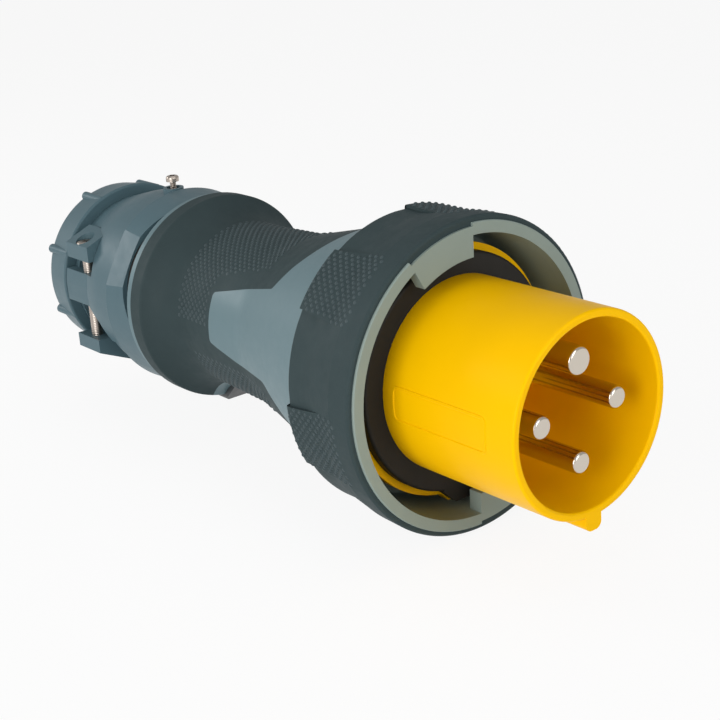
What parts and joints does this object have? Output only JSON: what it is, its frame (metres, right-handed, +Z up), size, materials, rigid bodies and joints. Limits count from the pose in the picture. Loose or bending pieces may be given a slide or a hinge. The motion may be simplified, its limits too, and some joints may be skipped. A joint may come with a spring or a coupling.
{
  "type": "locking power plug",
  "caption": "Round industrial power plug: yellow shroud with pins, bayonet locking ring, two-material handle, external cord clamp and gland nut.",
  "frame": {"origin": "on the plug's axis, in the plane of the gasket's front face, where the shroud starts", "axes": "+X along the axis out of the pins, +Z up through the earth pin, the key of the shroud points down along -Z"},
  "size_m": [0.2914, 0.1154, 0.1153],
  "materials": {
    "yellow_plastic": "satin",
    "grey_plastic": "satin",
    "dark_rubber": "matt",
    "black_rubber": "matt",
    "black_plastic": "satin",
    "plated_brass": "polished",
    "plated_steel": "polished"
  },
  "bodies": {
    "housing": {"contact_shroud": "yellow_plastic", "face_gasket": "black_rubber", "insert_seal": "black_rubber", "earth_pin": "plated_brass", "line_pin_1": "plated_brass", "line_pin_2": "plated_brass", "line_pin_3": "plated_brass", "terminal_carrier": "black_plastic", "terminal_screws": "plated_steel", "carrier_screws": "plated_steel", "handle_shell": "grey_plastic", "handle_grip": "dark_rubber", "latch": "black_plastic", "joint_seal": "black_rubber", "rear_housing": "grey_plastic", "housing_screw": "plated_steel", "cable_seal": "black_rubber"},
    "locking_ring_body": {"locking_ring": "grey_plastic", "ring_grip": "dark_rubber"},
    "slip_ring_body": {"thrust_ring": "black_plastic"},
    "gland_nut_body": {"gland_nut": "grey_plastic"},
    "upper_jaw_body": {"upper_clamp": "grey_plastic", "clamp_screws": "plated_steel"},
    "lower_jaw_body": {"lower_clamp": "grey_plastic", "clamp_nuts": "plated_steel"}
  },
  "joints": [
    {"name": "ring_turn", "type": "hinge", "parent": "housing", "child": "locking_ring_body", "pos_m": [0, 0, 0], "axis": [1, 0, 0], "range_deg": [0, 60]},
    {"name": "slip_ring_slide", "type": "slide", "parent": "housing", "child": "slip_ring_body", "axis": [-1, 0, 0], "range_m": [0, 0.0038]},
    {"name": "gland_nut_turn", "type": "hinge", "parent": "slip_ring_body", "child": "gland_nut_body", "pos_m": [-0.22, 0, 0], "axis": [-1, 0, 0], "range_deg": [0, 900]},
    {"name": "upper_jaw_slide", "type": "slide", "parent": "housing", "child": "upper_jaw_body", "axis": [0, 0, -1], "range_m": [0, 0.0055]},
    {"name": "lower_jaw_slide", "type": "slide", "parent": "housing", "child": "lower_jaw_body", "axis": [0, 0, 1], "range_m": [0, 0.008]}
  ],
  "couplings": [
    {"joint": "slip_ring_slide", "follows": "gland_nut_turn", "m_per_rad": 0.00023873}
  ]
}
